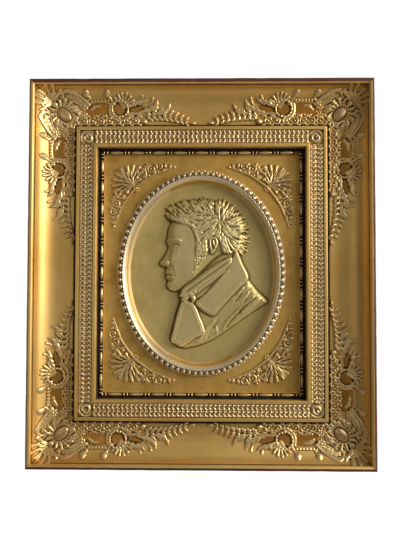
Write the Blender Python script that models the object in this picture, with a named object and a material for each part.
# Gilt plaster portrait medallion in its mitred giltwood frame with pressed
# composition ornament. Units are metres and +Z is up. The front faces -Y, the
# back lies in the wall plane y = 0, and heights are measured out from the wall.
import math

import bmesh
import bpy
import numpy as np
from mathutils import Matrix

MM = 0.001

# Overall frame, and where its wall mount lies on the top rail's back
FRAME_W = 525 * MM
FRAME_H = 590 * MM
MOUNT_DROP = 50 * MM
FIT_GAP = 0.3 * MM

# Rail section, from the outer edge inwards
RIM_HEIGHT = 60 * MM
RIM_RADIUS = 4.5 * MM
SIDE_LEAN = 4 * MM
SIDE_FOOT = 10 * MM
QUIRK = 1.5 * MM
COVE_W = 40 * MM
COVE_DROP = 27 * MM
FLAT_W = 16 * MM
STEP_W = 2.5 * MM
STEP_RISE = 12 * MM
FILLET_W = 5 * MM
CHANNEL_W = 21 * MM
CHANNEL_DEPTH = 4 * MM
SIGHT_STEP_W = 1.5 * MM
LIP_W = 8 * MM
LIP_THICK = 3 * MM
NOSE_STEPS = 6
COVE_STEPS = 9

# Boards in the rebate
BACKBOARD_THICK = 3.7 * MM
MAT_THICK = 8 * MM

# Leaf band in the channel
LEAF_PITCH = 7 * MM
LEAF_BASE = 0.9 * MM
LEAF_RISE = 3 * MM
CORNER_ROOM = 6 * MM

# Bead-and-reel strip on the lip
BEAD_W = 6 * MM
BEAD_PITCH = 33 * MM
BEAD_RISE = 3 * MM
REEL_RISE = 2.4 * MM
BEAD_NECK = 0.8 * MM

# Oval opening, leaf ring and medallion
MAT_MARGIN_SIDE = 20 * MM
MAT_MARGIN_TOP = 24 * MM
OPENING_BEVEL = 3.3 * MM
OPENING_SEGMENTS = 88
RING_W = 16.5 * MM
RING_LEAF_PITCH = 10.4 * MM
RING_LEAF_RISE = 9.7 * MM
RING_GAP_RISE = 6.8 * MM
RING_INNER_RISE = 7.7 * MM
RING_LEAF_PLACE = 0.42
RING_INNER_PLACE = 0.80
PLAQUE_THICK = 7.7 * MM
PLAQUE_FLANGE = 6.5 * MM
RELIEF_RISE = 12.5 * MM
DRAWN_FIELD = (110.4 * MM, 138.9 * MM)
RELIEF_CELLS = (120, 150)
RELIEF_KEEP = 0.029

# Pressed ornaments
ORNAMENT_VOXEL = 1.5 * MM
ORNAMENT_FLATTEN = 0.75
ORNAMENT_LIFT = 1.2 * MM
ARM_GAP = 25 * MM
CORNER_TRIANGLES = 730
SPANDREL_TRIANGLES = 240
SPANDREL_CLEAR = 13 * MM
SPANDREL_INSET_SIDE = 16.5 * MM
SPANDREL_INSET_TOP = 20 * MM

# Section levels and places that follow from the sizes above
COVE_START = SIDE_LEAN + 2 * RIM_RADIUS
COVE_TOP = RIM_HEIGHT - RIM_RADIUS - QUIRK
FLOOR = COVE_TOP - COVE_DROP
FLAT_END = COVE_START + COVE_W + FLAT_W
FILLET_TOP = FLOOR + STEP_RISE
CHANNEL_START = FLAT_END + STEP_W + FILLET_W
CHANNEL_END = CHANNEL_START + CHANNEL_W
REBATE = CHANNEL_END + FILLET_W + SIGHT_STEP_W
RAIL_W = REBATE + LIP_W
PLAQUE_BACK = BACKBOARD_THICK + FIT_GAP
FIELD = PLAQUE_BACK + PLAQUE_THICK
MAT_BACK = FIELD + FIT_GAP
MAT_FRONT = MAT_BACK + MAT_THICK
LIP_BACK = MAT_FRONT + FIT_GAP
LIP_FRONT = LIP_BACK + LIP_THICK
SIGHT_HALF_W = FRAME_W / 2 - RAIL_W
SIGHT_HALF_H = FRAME_H / 2 - RAIL_W
OPENING_A = SIGHT_HALF_W - MAT_MARGIN_SIDE - RING_W - FIT_GAP
OPENING_B = SIGHT_HALF_H - MAT_MARGIN_TOP - RING_W - FIT_GAP
FIELD_A = OPENING_A - OPENING_BEVEL
FIELD_B = OPENING_B - OPENING_BEVEL

# Each side of the frame: its turn about Y, the distance from the centre to its
# outer edge, and half its length
SIDES = {
    "top": (0, FRAME_H / 2, FRAME_W / 2),
    "right": (90, FRAME_W / 2, FRAME_H / 2),
    "bottom": (180, FRAME_H / 2, FRAME_W / 2),
    "left": (270, FRAME_W / 2, FRAME_H / 2),
}
CORNERS = {
    "top_left": (0, -1, 1),
    "top_right": (90, 1, 1),
    "bottom_right": (180, 1, -1),
    "bottom_left": (270, -1, -1),
}


def clear_scene():
    for obj in list(bpy.data.objects):
        bpy.data.objects.remove(obj, do_unlink=True)


def gilding(name, colour, roughness, metallic):
    """A gilt or plain finish as one Principled material."""
    material = bpy.data.materials.new(name)
    material.use_nodes = True
    shader = material.node_tree.nodes["Principled BSDF"]
    shader.inputs["Base Color"].default_value = (*colour, 1.0)
    shader.inputs["Roughness"].default_value = roughness
    shader.inputs["Metallic"].default_value = metallic
    return material


def add_object(name, mesh, material, parent, location=(0, 0, 0), turn=0):
    mesh.materials.clear()
    mesh.materials.append(material)
    obj = bpy.data.objects.new(name, mesh)
    bpy.context.collection.objects.link(obj)
    obj.parent = parent
    obj.location = location
    obj.rotation_euler = (0, math.radians(turn), 0)
    return obj


def finish_mesh(bm, name, smooth_angle=30):
    bmesh.ops.recalc_face_normals(bm, faces=bm.faces)
    mesh = bpy.data.meshes.new(name)
    bm.to_mesh(mesh)
    bm.free()
    mesh.shade_smooth()
    mesh.set_sharp_from_angle(angle=math.radians(smooth_angle))
    return mesh


def evaluated_mesh(obj):
    """The mesh of obj with its modifiers or bevel, and obj removed."""
    depsgraph = bpy.context.evaluated_depsgraph_get()
    mesh = bpy.data.meshes.new_from_object(obj.evaluated_get(depsgraph))
    bpy.data.objects.remove(obj, do_unlink=True)
    return mesh


# Rails

def cove_points(start, width, top, drop):
    """A cove as (distance in, height), from under the rim to its floor."""
    points = []
    for step in range(COVE_STEPS + 1):
        angle = 0.5 * math.pi * step / COVE_STEPS
        points.append((start + width * (1 - math.cos(angle)), top - drop * math.sin(angle)))
    return points


def rail_section():
    """Closed rail section as (distance in, height) points."""
    nose = (SIDE_LEAN + RIM_RADIUS, RIM_HEIGHT - RIM_RADIUS)
    section = [(0, 0), (0, SIDE_FOOT)]
    for step in range(NOSE_STEPS + 1):
        angle = math.pi * (1 - step / NOSE_STEPS)
        section.append((nose[0] + RIM_RADIUS * math.cos(angle), nose[1] + RIM_RADIUS * math.sin(angle)))
    section += cove_points(COVE_START, COVE_W, COVE_TOP, COVE_DROP)
    section += [
        (FLAT_END, FLOOR),
        (FLAT_END + STEP_W, FILLET_TOP),
        (CHANNEL_START, FILLET_TOP),
        (CHANNEL_START, FILLET_TOP - CHANNEL_DEPTH),
        (CHANNEL_END, FILLET_TOP - CHANNEL_DEPTH),
        (CHANNEL_END, FILLET_TOP),
        (CHANNEL_END + FILLET_W, FILLET_TOP),
        (REBATE, LIP_FRONT),
        (RAIL_W, LIP_FRONT),
        (RAIL_W, LIP_BACK),
        (REBATE, LIP_BACK),
        (REBATE, 0),
    ]
    return section


def mitre_ends(bm, half_span, half_length):
    """Move the two end columns of a run along X onto the mitre planes."""
    end = max(vert.co.x for vert in bm.verts)
    for vert in bm.verts:
        if abs(vert.co.x) > end - 0.01 * MM:
            inward = half_span - vert.co.z
            vert.co.x = math.copysign(half_length - inward - FIT_GAP, vert.co.x)


def rail_mesh(side):
    _, half_span, half_length = SIDES[side]
    bm = bmesh.new()
    corners = []
    for inward, height in rail_section():
        corners.append(bm.verts.new((-half_length, -height, half_span - inward)))
    section = bm.faces.new(corners)
    swept = bmesh.ops.extrude_face_region(bm, geom=[section])
    moved = [item for item in swept["geom"] if isinstance(item, bmesh.types.BMVert)]
    bmesh.ops.translate(bm, verts=moved, vec=(2 * half_length, 0, 0))
    mitre_ends(bm, half_span, half_length)
    return finish_mesh(bm, side + "_rail")


# Running ornaments that are laid along the rails

def run_columns(inner_half, pitch, end_room):
    """Evenly pitched places along X that leave end_room before each mitre."""
    half = inner_half - end_room
    count = max(1, round(2 * half / pitch))
    return [-half + 2 * half * step / count for step in range(count + 1)]


def close_back(bm):
    """Fill the open underside of a strip with one flat face."""
    edges = [edge for edge in bm.edges if edge.is_boundary]
    bmesh.ops.contextual_create(bm, geom=edges)
    bmesh.ops.dissolve_limit(bm, angle_limit=math.radians(0.5), verts=bm.verts, edges=bm.edges)


def place_grid(bm, columns, rows):
    """Lay a grid on the given X columns and (z, y) rows, in reading order."""
    verts = sorted(bm.verts, key=lambda vert: (round(vert.co.y, 6), round(vert.co.x, 6)))
    for index, vert in enumerate(verts):
        row, column = divmod(index, len(columns))
        vert.co = (columns[column], rows[row][1], rows[row][0])


def leaf_band_mesh(side):
    """Two rows of small pointed leaves back to back, on a thin ground."""
    _, half_span, half_length = SIDES[side]
    outer = CHANNEL_START + FIT_GAP
    inner = CHANNEL_END - FIT_GAP
    seat = FILLET_TOP - CHANNEL_DEPTH + FIT_GAP
    run = run_columns(half_length - inner, LEAF_PITCH, CORNER_ROOM)
    columns = [-half_length, *run, half_length]
    rows = []
    for place in (outer, (outer + inner) / 2, inner):
        rows.append((half_span - place, -(seat + LEAF_BASE)))
    bm = bmesh.new()
    bmesh.ops.create_grid(bm, x_segments=len(columns) - 1, y_segments=2, size=1)
    place_grid(bm, columns, rows)
    mitre_ends(bm, half_span, half_length)
    tips = bmesh.ops.poke(bm, faces=bm.faces)["verts"]
    bmesh.ops.translate(bm, verts=tips, vec=(0, -LEAF_RISE, 0))
    rim = [edge for edge in bm.edges if edge.is_boundary]
    skirt = bmesh.ops.extrude_edge_only(bm, edges=rim)["geom"]
    lowered = [item for item in skirt if isinstance(item, bmesh.types.BMVert)]
    bmesh.ops.translate(bm, verts=lowered, vec=(0, LEAF_BASE, 0))
    close_back(bm)
    return finish_mesh(bm, side + "_leaf_band", 10)


def bead_strip_mesh(side):
    """A row of long beads with a pair of reels between each two."""
    _, half_span, half_length = SIDES[side]
    outer = REBATE + SIGHT_STEP_W
    inner = outer + BEAD_W
    seat = LIP_FRONT + FIT_GAP
    shape = (
        (0.00, REEL_RISE),
        (0.07, BEAD_NECK),
        (0.14, REEL_RISE),
        (0.21, BEAD_NECK),
        (0.42, BEAD_RISE),
        (0.74, BEAD_RISE),
        (0.94, BEAD_NECK),
    )
    marks = run_columns(half_length - inner, BEAD_PITCH, BEAD_W)
    step = marks[1] - marks[0]
    columns = [-half_length]
    crest = [BEAD_NECK]
    for mark in marks[:-1]:
        for share, rise in shape:
            columns.append(mark + share * step)
            crest.append(rise)
    columns += [marks[-1], half_length]
    crest += [REEL_RISE, BEAD_NECK]
    rows = [(half_span - place, -seat) for place in (outer, (outer + inner) / 2, inner)]
    bm = bmesh.new()
    bmesh.ops.create_grid(bm, x_segments=len(columns) - 1, y_segments=2, size=1)
    place_grid(bm, columns, rows)
    middle = half_span - (outer + inner) / 2
    on_crest = [vert for vert in bm.verts if abs(vert.co.z - middle) < BEAD_W / 4]
    for vert, rise in zip(sorted(on_crest, key=lambda vert: vert.co.x), crest):
        vert.co.y -= rise
    on_edges = [vert for vert in bm.verts if vert not in on_crest]
    on_edges.sort(key=lambda vert: (vert.co.z, vert.co.x))
    welds = {}
    for row in (on_edges[:len(columns)], on_edges[len(columns):]):
        for index in range(1, len(columns) - 2):
            place = (index - 1) % len(shape)
            if place in (1, 2, 3):
                welds[row[index]] = row[index - place]
            elif place == 5:
                welds[row[index]] = row[index - 1]
    mitre_ends(bm, half_span, half_length)
    bmesh.ops.weld_verts(bm, targetmap=welds)
    close_back(bm)
    return finish_mesh(bm, side + "_bead_strip", 40)


# Boards

def board_mesh(name, half_width, half_height, back, front):
    bm = bmesh.new()
    bmesh.ops.create_cube(bm, size=1)
    bmesh.ops.scale(bm, verts=bm.verts, vec=(2 * half_width, front - back, 2 * half_height))
    bmesh.ops.translate(bm, verts=bm.verts, vec=(0, -(front + back) / 2, 0))
    return finish_mesh(bm, name)


def opening_cutter(parent):
    """An elliptical cone, wider at the front, that cuts the bevelled opening."""
    reach = MAT_THICK
    slope = OPENING_BEVEL / MAT_THICK
    bm = bmesh.new()
    bmesh.ops.create_cone(bm, cap_ends=True, segments=OPENING_SEGMENTS, radius1=1, radius2=1, depth=1)
    for vert in bm.verts:
        front = vert.co.z > 0
        spread = slope * reach if front else -OPENING_BEVEL - slope * reach
        depth = MAT_FRONT + reach if front else MAT_BACK - reach
        vert.co = (vert.co.x * (OPENING_A + spread), -depth, vert.co.y * (OPENING_B + spread))
    cutter = add_object("opening_cutter", finish_mesh(bm, "opening_cutter"), bpy.data.materials[0], parent)
    cutter.hide_render = True
    cutter.display_type = "WIRE"
    return cutter


# Oval ring

def ring_mesh():
    """A ring of upright leaves round the opening, sloping in to the bevel."""
    seat = MAT_FRONT + FIT_GAP
    outer_a = OPENING_A + FIT_GAP + RING_W
    outer_b = OPENING_B + FIT_GAP + RING_W
    root = math.sqrt((3 * outer_a + outer_b) * (outer_a + 3 * outer_b))
    girth = math.pi * (3 * (outer_a + outer_b) - root)
    columns = 2 * max(12, round(girth / RING_LEAF_PITCH))
    lines = (
        (1.0, 0, 0),
        (1.0 - RING_LEAF_PLACE, RING_GAP_RISE, RING_LEAF_RISE),
        (1.0 - RING_INNER_PLACE, RING_INNER_RISE, RING_INNER_RISE),
        (0.0, 0, 0),
        (1.0, 0, 0),
    )
    bm = bmesh.new()
    bmesh.ops.create_grid(bm, x_segments=columns, y_segments=len(lines) - 1, size=1)
    welds = {}
    grid = sorted(bm.verts, key=lambda vert: (round(vert.co.y, 6), round(vert.co.x, 6)))
    for index, vert in enumerate(grid):
        line, column = divmod(index, columns + 1)
        share, gap_rise, leaf_rise = lines[line]
        angle = 2 * math.pi * column / columns
        rise = leaf_rise if column % 2 else gap_rise
        along_x = (OPENING_A + FIT_GAP + share * RING_W) * math.cos(angle)
        along_z = (OPENING_B + FIT_GAP + share * RING_W) * math.sin(angle)
        vert.co = (along_x, -(seat + rise), along_z)
        if column % 2 and line != 1:
            welds[vert] = grid[index - 1]
    bmesh.ops.weld_verts(bm, targetmap=welds)
    bmesh.ops.remove_doubles(bm, verts=bm.verts, dist=0.001 * MM)
    return finish_mesh(bm, "oval_ring")


# Medallion relief. Its outlines are drawn in millimetres from the middle of an
# oval of DRAWN_FIELD, x to the right and z up, and scaled with the real oval.

def smooth_outline(points, closed=True, steps=6):
    """A Catmull-Rom curve through the points."""
    points = np.array(points, dtype=float)
    count = len(points)
    spans = count if closed else count - 1
    curve = []
    for index in range(spans):
        picks = np.arange(index - 1, index + 3)
        picks = picks % count if closed else np.clip(picks, 0, count - 1)
        a, b, c, d = points[picks]
        for step in range(steps):
            t = step / steps
            bend = (2 * a - 5 * b + 4 * c - d) * t ** 2 + (3 * b - a - 3 * c + d) * t ** 3
            curve.append(0.5 * (2 * b + (c - a) * t + bend))
    if not closed:
        curve.append(points[-1])
    return np.array(curve)


def path_distance(places, path):
    """Distance of each place to a polyline, and how far along it lies."""
    best = np.full(len(places), 1e9)
    along = np.zeros(len(places))
    for index in range(len(path) - 1):
        start = path[index]
        run = path[index + 1] - start
        share = np.clip((places - start) @ run / (run @ run + 1e-12), 0, 1)
        gap = np.linalg.norm(places - start - share[:, None] * run, axis=1)
        nearer = gap < best
        best[nearer] = gap[nearer]
        along[nearer] = (index + share[nearer]) / (len(path) - 1)
    return best, along


def inside_distance(places, outline):
    """How deep each place lies inside a closed outline, 0 outside it."""
    loop = np.vstack([outline, outline[:1]])
    gap, _ = path_distance(places, loop)
    inside = np.zeros(len(places), dtype=bool)
    for start, end in zip(loop[:-1], loop[1:]):
        if start[1] == end[1]:
            continue
        crosses = (start[1] > places[:, 1]) != (end[1] > places[:, 1])
        where = start[0] + (places[:, 1] - start[1]) * (end[0] - start[0]) / (end[1] - start[1])
        inside ^= crosses & (places[:, 0] < where)
    return np.where(inside, gap, 0)


def dome(depth, rise, reach):
    """Rounded rise from an edge up to a level top, reach millimetres in."""
    share = np.clip(depth / reach, 0, 1)
    return rise * np.sqrt(1 - (1 - share) ** 2)


def ridge(places, points, width, rise):
    """A rounded, tapering ridge along a curve, or a groove if rise < 0."""
    gap, along = path_distance(places, smooth_outline(points, closed=False))
    taper = np.sqrt(np.clip(np.sin(math.pi * np.clip(0.12 + 0.8 * along, 0, 1)), 0, 1))
    return rise * taper * np.exp(-(gap / width) ** 2)


FACE = [
    (-44, 84), (-51, 70), (-53, 56), (-55, 48), (-51, 40), (-58, 27), (-66, 15), (-60, 10), (-54, 8),
    (-57, 0), (-54, -3), (-56, -7), (-52, -12), (-54, -20), (-46, -28), (-20, -34),
]
CROWN = [
    (40, -20), (50, 8), (54, 32), (62, 54), (61, 72), (50, 92), (28, 105), (2, 109), (-24, 104), (-44, 95),
]
HAIR = [
    (-52, 84), (-44, 98), (-24, 107), (2, 111), (28, 107), (51, 94), (63, 72), (64, 54), (55, 32), (38, 34),
    (28, 52), (14, 56), (8, 40), (0, 10), (-14, -6), (-10, 20), (-8, 52), (-18, 74), (-38, 80),
]
COAT = [
    (53, 30), (72, -8), (89, -30), (102, -45), (72, -66), (35, -92), (-4, -112), (-31, -116), (-48, -106),
    (-37, -62), (-31, -40), (-24, -24), (20, -6),
]
STOCK = [(46, 22), (36, 2), (8, -20), (-20, -38), (-30, -30), (-26, -22), (-6, -10), (24, 12)]
KNOT = [(-32, -26), (-18, -24), (-6, -34), (-12, -42), (-26, -44), (-34, -36)]
COLLAR = [(54, 34), (66, 12), (72, -8), (50, -34), (20, -66), (-2, -56), (-10, -46), (16, -24), (40, 6)]
LAPEL = [
    (-10, -50), (0, -70), (6, -92), (-14, -106), (-32, -115), (-48, -106), (-42, -84), (-36, -60),
    (-28, -44),
]
EAR = [(13, 50), (19, 55), (25, 50), (23, 40), (16, 30), (13, 36)]

# Each mass of the bust: its outline, its height over the field, and how far in
# from the outline it reaches that height
MASSES = [
    (FACE + CROWN, 8.5, 20),
    (COAT, 6, 14),
    (STOCK, 9.5, 9),
    (COLLAR, 10.5, 8),
    (LAPEL, 8.5, 8),
    (KNOT, 10.5, 6),
]
HAIR_RISE = 2.2
HAIR_REACH = 6
HAIR_FOOT = 4
EAR_RISE = 2.4
EAR_REACH = 4
FULL_HEIGHT = 13.5

LOCK_WIDTH = 3.2
LOCK_RISE = 1.8
LOCKS = [
    [(-52, 84), (-58, 92), (-54, 98)],
    [(-42, 88), (-48, 98), (-40, 103)],
    [(-28, 88), (-36, 100), (-26, 107)],
    [(-10, 86), (-18, 100), (-6, 108)],
    [(10, 84), (4, 98), (16, 106)],
    [(28, 78), (30, 92), (42, 97)],
    [(40, 68), (48, 80), (57, 80)],
    [(42, 54), (54, 62), (64, 60)],
    [(40, 42), (50, 46), (58, 40)],
    [(-14, 66), (-4, 74), (12, 72)],
    [(6, 66), (20, 68), (32, 60)],
    [(-2, 40), (-6, 26), (-4, 12)],
    [(4, 30), (-2, 14), (-8, 2)],
]
FOLD_WIDTH = 3.5
FOLD_RISE = 1.6
FOLD_FLOOR = 3
FOLDS = [
    [(88, -31), (66, -45), (35, -78), (30, -97)],
    [(94, -40), (76, -54), (56, -72)],
    [(60, -30), (48, -50), (26, -74)],
    [(24, -70), (14, -86), (10, -104)],
]

# Features of the face as soft ridges and grooves: curve, width and rise
FEATURES = [
    ([(-50, 50), (-42, 52), (-32, 48)], 3.5, 1.4),
    ([(-50, 41), (-44, 43), (-36, 41)], 3.0, -1.6),
    ([(-54, -3), (-46, -3), (-41, -5)], 1.6, -1.4),
    ([(-36, 26), (-28, 22), (-18, 24)], 8.0, 1.6),
]


def bust_relief(places):
    """Share of the full relief at each place on the field."""
    height = np.zeros(len(places))
    for outline, rise, reach in MASSES:
        height = np.maximum(height, dome(inside_distance(places, smooth_outline(outline)), rise, reach))
    head = inside_distance(places, smooth_outline(FACE + CROWN)) > 0
    hair = inside_distance(places, smooth_outline(HAIR))
    height += dome(hair, HAIR_RISE, HAIR_REACH)
    height = np.where(hair > 0, np.maximum(height, HAIR_FOOT), height)
    height += dome(inside_distance(places, smooth_outline(EAR)), EAR_RISE, EAR_REACH)
    for lock in LOCKS:
        height += ridge(places, lock, LOCK_WIDTH, LOCK_RISE)
    for fold in FOLDS:
        height += ridge(places, fold, FOLD_WIDTH, FOLD_RISE) * (height > FOLD_FLOOR)
    for curve, width, rise in FEATURES:
        height += ridge(places, curve, width, rise) * head
    return np.clip(height / FULL_HEIGHT, 0, 1)


def medallion_mesh():
    """Oval plaque: a grid drawn out to the oval and raised into the bust."""
    flange_a = FIELD_A + PLAQUE_FLANGE
    flange_b = FIELD_B + PLAQUE_FLANGE
    scale = min(FIELD_A / DRAWN_FIELD[0], FIELD_B / DRAWN_FIELD[1])
    bm = bmesh.new()
    bmesh.ops.create_grid(bm, x_segments=RELIEF_CELLS[0], y_segments=RELIEF_CELLS[1], size=1)
    for vert in bm.verts:
        across, up = vert.co.x, vert.co.y
        vert.co.x = flange_a * across * math.sqrt(1 - up ** 2 / 2)
        vert.co.z = flange_b * up * math.sqrt(1 - across ** 2 / 2)
        vert.co.y = -FIELD
    places = np.array([(vert.co.x, vert.co.z) for vert in bm.verts]) / (scale * MM)
    for vert, share in zip(bm.verts, bust_relief(places)):
        vert.co.y -= float(share) * RELIEF_RISE
    rim = [edge for edge in bm.edges if edge.is_boundary]
    skirt = bmesh.ops.extrude_edge_only(bm, edges=rim)["geom"]
    for item in skirt:
        if isinstance(item, bmesh.types.BMVert):
            item.co.y = -PLAQUE_BACK
    back = [edge for edge in bm.edges if edge.is_boundary]
    bmesh.ops.contextual_create(bm, geom=back)
    mesh = finish_mesh(bm, "medallion")
    draft = bpy.data.objects.new("medallion_draft", mesh)
    bpy.context.collection.objects.link(draft)
    thin = draft.modifiers.new("thin", "DECIMATE")
    thin.ratio = RELIEF_KEEP
    return evaluated_mesh(draft)


# Pressed ornaments. A stroke is a curve of (x, y) points in millimetres with a
# radius at its start, middle and end; x runs along the arm from the outer
# corner and y inwards from the outer edge.

def ring_points(centre, radius, steps=16):
    points = []
    for step in range(steps + 1):
        angle = 2 * math.pi * step / steps
        points.append((centre[0] + radius * math.cos(angle), centre[1] + radius * math.sin(angle)))
    return points


def fan(root, heading, spread, count, reach, fall, radii):
    """Straight lobes that spread from a root, shorter towards the sides."""
    strokes = []
    for index in range(count):
        place = index - (count - 1) / 2
        angle = math.radians(heading + spread * place)
        length = reach - fall * abs(place)
        tip = (root[0] + length * math.cos(angle), root[1] + length * math.sin(angle))
        strokes.append(([root, tip], radii))
    return strokes


SPRAY_LEAN = 48
SPRAY_FALL = 0.62


def leaf_spray(stem, count, length, radius):
    """Leaf strokes set off both sides of a stem, shorter towards its tip."""
    curve = smooth_outline(stem, closed=False)
    last = len(curve) - 1
    strokes = []
    for index in range(count):
        share = (index + 0.2) / count
        place = int(share * last)
        run = curve[min(place + 1, last)] - curve[max(place - 1, 0)]
        heading = math.atan2(run[1], run[0])
        ahead = np.array((math.cos(heading), math.sin(heading)))
        reach = length * (1 - SPRAY_FALL * share)
        for side in (-1, 1):
            lean = heading + side * math.radians(SPRAY_LEAN)
            middle = curve[place] + 0.6 * reach * np.array((math.cos(lean), math.sin(lean)))
            tip = middle + 0.5 * reach * ahead
            points = [tuple(curve[place]), tuple(middle), tuple(tip)]
            strokes.append((points, (radius, radius, 0.5 * radius)))
    return strokes


def mirrored(strokes):
    """The same strokes on the other side of the mitre."""
    return [([(y, x) for x, y in points], radii) for points, radii in strokes]


def corner_strokes():
    """The ornament of one arm, and what lies on the mitre."""
    stem = [(150, 50), (178, 48), (205, 53), (230, 60), (250, 64)]
    arm = [
        ([(44, 44), (38, 32), (34, 22)], (3, 3, 4.6)),
        ([(46, 42), (52, 31), (47, 22), (50, 19), (58, 20), (66, 24), (79, 30)], (2.6, 4, 3)),
        ([(56, 29), (66, 32), (80, 34)], (3.4, 4, 2.6)),
        ([(78, 36), (83, 29), (85, 21)], (2.6, 2.2, 4.6)),
        ([(108, 34), (113, 28), (117, 21)], (2.4, 2.2, 4.6)),
        ([(64, 44), (84, 40), (104, 38), (128, 40)], (6, 7, 5)),
        (ring_points((136, 41.5), 11.5), (3.4, 3.4, 3.4)),
        ([(128, 30), (128, 27), (130, 24)], (2.4, 2.8, 2.8)),
        ([(136, 29), (137, 25), (139, 22)], (2.4, 2.8, 2.8)),
        ([(144, 32), (147, 28), (151, 26)], (2.4, 2.8, 2.8)),
        ([(120, 50), (136, 52), (156, 50)], (3, 5, 4.4)),
        ([(150, 44), (162, 38), (172, 34), (176, 28)], (3, 2.8, 3.4)),
        ([(170, 46), (184, 40), (193, 30)], (3.2, 3.6, 2.6)),
        ([(192, 48), (204, 43), (213, 35)], (3, 3.4, 2.4)),
        ([(156, 52), (166, 56), (173, 60)], (2.6, 2.6, 4.2)),
        (stem, (5, 4.4, 2)),
        ([(60, 58), (76, 62), (92, 57), (108, 62), (124, 58), (140, 61), (156, 54)], (4, 3.8, 3)),
    ]
    arm += leaf_spray(stem, 5, 14, 3.2)
    mitre = [([(50, 50), (60, 60), (65, 65)], (6, 4, 2))]
    mitre += fan((33, 33), 225, 26, 5, 17, 0, (2.2, 2.8, 2.8))
    mitre += fan((50, 50), 225, 27, 9, 17, 0, (3, 3, 2))
    return arm + mirrored(arm) + mitre


# The section that the corner ornament was drawn for: start, width and drop of
# its cove and end of its flat. The spandrel's palmette was drawn from its root.
MOULD_COVE = (13, 40, 27)
MOULD_FLAT_END = 69
SPANDREL_ROOT = 32

CORNER_BALLS = [
    ((50, 50), 10, 8),
    ((80, 58), 5.5, 4.5),
    ((108, 58), 5.5, 4.5),
    ((58, 80), 5.5, 4.5),
    ((58, 108), 5.5, 4.5),
]


def spandrel_strokes():
    """A fan palmette in the corner, a stem on the oval side and two arms."""
    arm = [
        ([(32, 32), (44, 22), (56, 11), (72, 3), (90, -1)], (2.4, 2.2, 1.4)),
        (ring_points((38, 13), 4.5), (2, 2, 2)),
        (ring_points((54, 4), 3), (1.8, 1.8, 1.8)),
        ([(34, 24), (40, 20), (47, 12)], (2.4, 2.4, 2)),
        ([(60, 8), (66, 0), (70, -3)], (1.8, 2, 1.6)),
        ([(74, 3), (80, -2), (84, -4)], (1.8, 2, 1.6)),
    ]
    return arm + mirrored(arm) + fan((32, 32), 225, 21, 7, 41, 3.5, (2.4, 2.6, 2.2))


def stroke_mesh(strokes):
    """All strokes as tapered round rods, flattened and fused into one skin."""
    curve = bpy.data.curves.new("strokes", "CURVE")
    curve.dimensions = "3D"
    curve.bevel_depth = MM
    curve.bevel_resolution = 2
    curve.use_fill_caps = True
    for points, (start, middle, end) in strokes:
        path = smooth_outline(points, closed=False, steps=3)
        spline = curve.splines.new("POLY")
        spline.points.add(len(path) - 1)
        for index, place in enumerate(path):
            share = index / (len(path) - 1)
            spline.points[index].co = (place[0] * MM, place[1] * MM, 0, 1)
            spline.points[index].radius = float(np.interp(share, (0, 0.5, 1), (start, middle, end)))
    rods = bpy.data.objects.new("strokes", curve)
    bpy.context.collection.objects.link(rods)
    mesh = evaluated_mesh(rods)
    mesh.transform(Matrix.Diagonal((1, 1, ORNAMENT_FLATTEN, 1)))
    mesh.transform(Matrix.Translation((0, 0, ORNAMENT_LIFT)))
    return mesh


def fused(mesh, balls):
    """Add flattened balls, then fuse everything into one closed skin."""
    bm = bmesh.new()
    bm.from_mesh(mesh)
    for (x, y), radius, rise in balls:
        size = Matrix.Diagonal((radius * MM, radius * MM, rise * MM, 1))
        place = Matrix.Translation((x * MM, y * MM, 0)) @ size
        bmesh.ops.create_icosphere(bm, subdivisions=3, radius=1, matrix=place)
    bm.to_mesh(mesh)
    bm.free()
    draft = bpy.data.objects.new("fused", mesh)
    bpy.context.collection.objects.link(draft)
    skin = draft.modifiers.new("skin", "REMESH")
    skin.mode = "VOXEL"
    skin.voxel_size = ORNAMENT_VOXEL
    return evaluated_mesh(draft)


def thinned(mesh, triangles):
    draft = bpy.data.objects.new("thinned", mesh)
    bpy.context.collection.objects.link(draft)
    thin = draft.modifiers.new("thin", "DECIMATE")
    mesh.calc_loop_triangles()
    thin.ratio = triangles / len(mesh.loop_triangles)
    return evaluated_mesh(draft)


def seat_height(section, inward):
    """Height of a faceted section at a distance in from the edge."""
    return float(np.interp(inward, [point[0] for point in section], [point[1] for point in section]))


def rail_place(drawn, reach):
    """Where a drawn distance from the corner falls on the real rail and arm."""
    marks = (0, MOULD_COVE[0] * MM, MOULD_FLAT_END * MM, reach)
    arm = (min(FRAME_W, FRAME_H) - ARM_GAP) / 2
    return float(np.interp(drawn, marks, (0, COVE_START, FLAT_END, arm)))


def spandrel_scale():
    """How much larger the spandrel is than drawn, from its room to the ring."""
    ring_a = OPENING_A + FIT_GAP + RING_W
    ring_b = OPENING_B + FIT_GAP + RING_W
    across = SIGHT_HALF_W - SPANDREL_INSET_SIDE
    up = SIGHT_HALF_H - SPANDREL_INSET_TOP
    square = 1 / ring_a ** 2 + 1 / ring_b ** 2
    half_linear = across / ring_a ** 2 + up / ring_b ** 2
    constant = (across / ring_a) ** 2 + (up / ring_b) ** 2 - 1
    room = (half_linear - math.sqrt(half_linear ** 2 - square * constant)) / square
    return (room - SPANDREL_CLEAR) / (SPANDREL_ROOT * MM)


def press(mesh, triangles, mould):
    """The fused strokes pressed onto the section of their mould and thinned."""
    for vert in mesh.vertices:
        along, inward, depth = vert.co
        vert.co = (along, inward, seat_height(mould, min(along, inward)) + max(depth, 0))
    return thinned(mesh, triangles)


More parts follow.
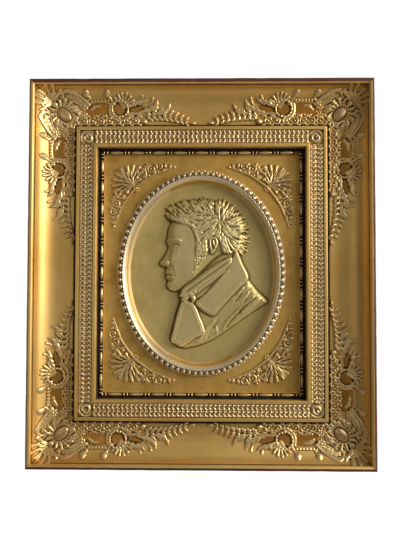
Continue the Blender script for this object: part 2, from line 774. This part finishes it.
def laid_ornament(name, mesh, mould, place, section):
    """A pressed ornament bent from its mould's section to the real one."""
    laid = mesh.copy()
    for vert in laid.vertices:
        depth = max(vert.co.z - seat_height(mould, min(vert.co.x, vert.co.y)), 0)
        along, inward = place(vert.co.x), place(vert.co.y)
        height = seat_height(section, min(along, inward)) + FIT_GAP + depth
        vert.co = (along, -height, -inward)
    bm = bmesh.new()
    bm.from_mesh(laid)
    return finish_mesh(bm, name, 35)


def build():
    clear_scene()
    centre = bpy.data.objects.new("frame_centre", None)
    bpy.context.collection.objects.link(centre)
    centre.location = (0, 0, MOUNT_DROP - FRAME_H / 2)

    burnished = gilding("rail_gilding", (0.66, 0.47, 0.18), 0.32, 0.9)
    pressed = gilding("corner_gilding", (0.70, 0.52, 0.24), 0.38, 0.85)
    leafwork = gilding("leaf_band_gilding", (0.62, 0.45, 0.20), 0.42, 0.85)
    beadwork = gilding("bead_gilding", (0.60, 0.42, 0.16), 0.35, 0.9)
    matt = gilding("mat_gilding", (0.58, 0.42, 0.15), 0.45, 0.85)
    spandrel = gilding("spandrel_gilding", (0.62, 0.46, 0.20), 0.42, 0.85)
    ring = gilding("ring_gilding", (0.68, 0.50, 0.22), 0.36, 0.9)
    plaster = gilding("medallion_gilding", (0.56, 0.47, 0.22), 0.5, 0.7)
    bare_wood = gilding("backboard_wood", (0.30, 0.20, 0.12), 0.8, 0.0)

    for side, (turn, _, _) in SIDES.items():
        add_object(side + "_rail", rail_mesh(side), burnished, centre, turn=turn)
        add_object(side + "_leaf_band", leaf_band_mesh(side), leafwork, centre, turn=turn)
        add_object(side + "_bead_strip", bead_strip_mesh(side), beadwork, centre, turn=turn)

    board_half = (FRAME_W / 2 - REBATE - FIT_GAP, FRAME_H / 2 - REBATE - FIT_GAP)
    add_object("backboard", board_mesh("backboard", *board_half, 0, BACKBOARD_THICK), bare_wood, centre)
    mat = add_object("mat_panel", board_mesh("mat_panel", *board_half, MAT_BACK, MAT_FRONT), matt, centre)
    opening = mat.modifiers.new("opening", "BOOLEAN")
    opening.operation = "DIFFERENCE"
    opening.object = opening_cutter(centre)
    add_object("oval_ring", ring_mesh(), ring, centre)
    add_object("medallion", medallion_mesh(), plaster, centre)

    start, width, drop = (value * MM for value in MOULD_COVE)
    mould = cove_points(start, width, drop, drop) + [(MOULD_FLAT_END * MM, 0)]
    cove = cove_points(COVE_START, COVE_W, COVE_TOP, COVE_DROP) + [(FLAT_END, FLOOR)]
    corner_draft = press(fused(stroke_mesh(corner_strokes()), CORNER_BALLS), CORNER_TRIANGLES, mould)
    reach = max(vert.co.x for vert in corner_draft.vertices)
    corner_mesh = laid_ornament("corner_ornament", corner_draft, mould,
                                lambda drawn: rail_place(drawn, reach), cove)
    board = [(0, 0)]
    scale = spandrel_scale()
    spandrel_draft = press(fused(stroke_mesh(spandrel_strokes()), []), SPANDREL_TRIANGLES, board)
    spandrel_mesh = laid_ornament("spandrel_ornament", spandrel_draft, board,
                                  lambda drawn: scale * drawn, [(0, MAT_FRONT)])
    for corner, (turn, across, up) in CORNERS.items():
        outer = (across * FRAME_W / 2, 0, up * FRAME_H / 2)
        add_object(corner + "_ornament", corner_mesh, pressed, centre, outer, turn)
        inner = (across * (SIGHT_HALF_W - SPANDREL_INSET_SIDE), 0, up * (SIGHT_HALF_H - SPANDREL_INSET_TOP))
        add_object(corner + "_spandrel", spandrel_mesh, spandrel, centre, inner, turn)


build()
